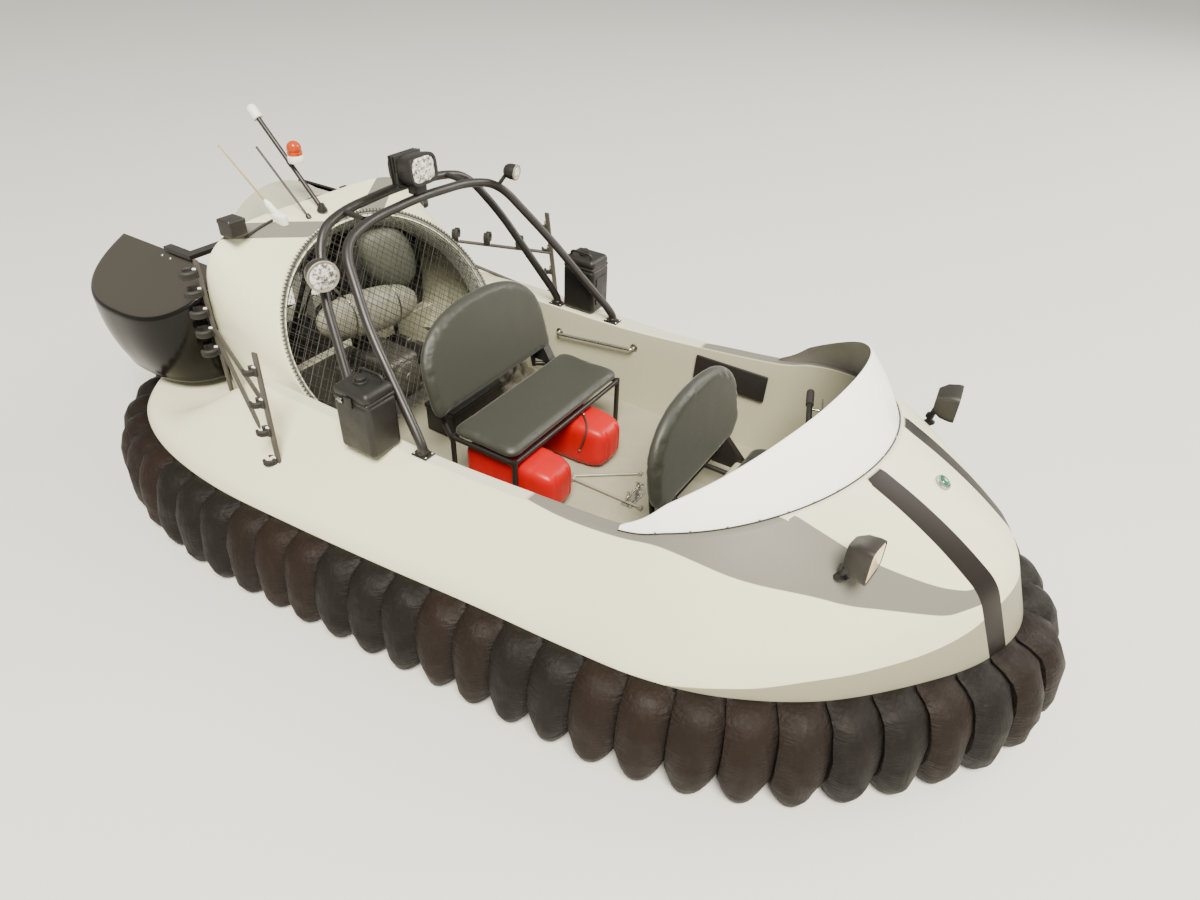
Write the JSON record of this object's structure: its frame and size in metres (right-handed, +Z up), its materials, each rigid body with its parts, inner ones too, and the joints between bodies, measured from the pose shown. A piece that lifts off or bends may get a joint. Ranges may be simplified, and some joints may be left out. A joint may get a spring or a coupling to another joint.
{
  "type": "light four-seat hovercraft",
  "caption": "Light open four-seat hovercraft with a fingered skirt, roll hoops, rear ducted fan with rudders and reversing buckets that swing behind the duct.",
  "frame": {"origin": "on the ground under the middle of the whole craft", "axes": "+X towards the bow, +Y to port, +Z up"},
  "size_m": [4.315, 2.5116, 1.5333],
  "materials": {
    "white": "gloss",
    "orange": "tinted lens",
    "black": "satin",
    "gloss": "gloss gelcoat",
    "blackplastic": "moulded",
    "hull": "satin gelcoat",
    "iron": "cast",
    "blade": "moulded",
    "vinyl": "seat vinyl",
    "red": "moulded",
    "steel": "polished",
    "pan": "satin gelcoat",
    "tank": "satin",
    "skirt": "coated cloth"
  },
  "bodies": {
    "craft": {"aerial_mount": "white", "beacon": "orange", "bucket_arm_port": "black", "bucket_arm_starboard": "black", "bucket_foot_port": "black", "bucket_foot_starboard": "black", "corner_box": "blackplastic", "corner_lamp": "blackplastic", "deck": "hull", "engine_block": "iron", "engine_cowl": "hull", "fan_duct": "hull", "front_seat_back": "vinyl", "front_seat_box": "black", "front_seat_pad": "vinyl", "fuel_tank_port": "red", "fuel_tank_starboard": "red", "grab_rail_port": "steel", "grab_rail_starboard": "steel", "headlight_port": "blackplastic", "headlight_starboard": "blackplastic", "hoop_link_port": "black", "hoop_link_starboard": "black", "hull_pan": "pan", "inlet_guard": "black", "mast": "black", "mast_light": "white", "nose_light": "steel", "rack_port": "black", "rack_starboard": "black", "rear_seat_back": "vinyl", "rear_seat_frame": "black", "rear_seat_pad": "vinyl", "roll_hoop_front": "black", "roll_hoop_rear": "black", "round_lamp": "blackplastic", "side_box_port": "blackplastic", "side_box_starboard": "blackplastic", "silencer": "tank", "skirt_bow": "skirt", "skirt_port": "skirt", "skirt_starboard": "skirt", "skirt_stern": "skirt", "spotlight": "blackplastic", "stator": "blade", "steering_post": "black", "wall_pocket": "blackplastic", "windscreen": "white"},
    "fan": {"fan": "blade"},
    "handlebar": {"handlebar": "black"},
    "rudder_port": {"rudder_port": "black"},
    "rudder_center": {"rudder_center": "black"},
    "rudder_starboard": {"rudder_starboard": "black"},
    "bucket_port": {"bucket_port": "gloss"},
    "bucket_starboard": {"bucket_starboard": "gloss"}
  },
  "joints": [
    {"name": "fan_spin", "type": "hinge", "parent": "craft", "child": "fan", "pos_m": [-1.44, 0, 0.79], "axis": [1, 0, 0], "continuous": true},
    {"name": "rudder_center_turn", "type": "hinge", "parent": "craft", "child": "rudder_center", "pos_m": [-1.6, 0, 0.79], "axis": [0, 0, 1], "range_deg": [-30, 30]},
    {"name": "rudder_port_turn", "type": "hinge", "parent": "craft", "child": "rudder_port", "pos_m": [-1.6, 0.18, 0.79], "axis": [0, 0, 1], "range_deg": [-30, 30]},
    {"name": "rudder_starboard_turn", "type": "hinge", "parent": "craft", "child": "rudder_starboard", "pos_m": [-1.6, -0.18, 0.79], "axis": [0, 0, 1], "range_deg": [-30, 30]},
    {"name": "steering", "type": "hinge", "parent": "craft", "child": "handlebar", "pos_m": [1.0797, 0, 0.6613], "axis": [-0.1807, 0, 0.9835], "range_deg": [-36, 36]},
    {"name": "bucket_port_swing", "type": "hinge", "parent": "craft", "child": "bucket_port", "pos_m": [-1.775, 0.52, 0.44], "axis": [0, 0, 1], "range_deg": [0, 90]},
    {"name": "bucket_starboard_swing", "type": "hinge", "parent": "craft", "child": "bucket_starboard", "pos_m": [-1.775, -0.52, 0.44], "axis": [0, 0, -1], "range_deg": [0, 90]}
  ],
  "couplings": [
    {"joint": "rudder_port_turn", "follows": "rudder_center_turn", "ratio": 1},
    {"joint": "rudder_starboard_turn", "follows": "rudder_center_turn", "ratio": 1},
    {"joint": "steering", "follows": "rudder_center_turn", "ratio": -1.1667}
  ]
}
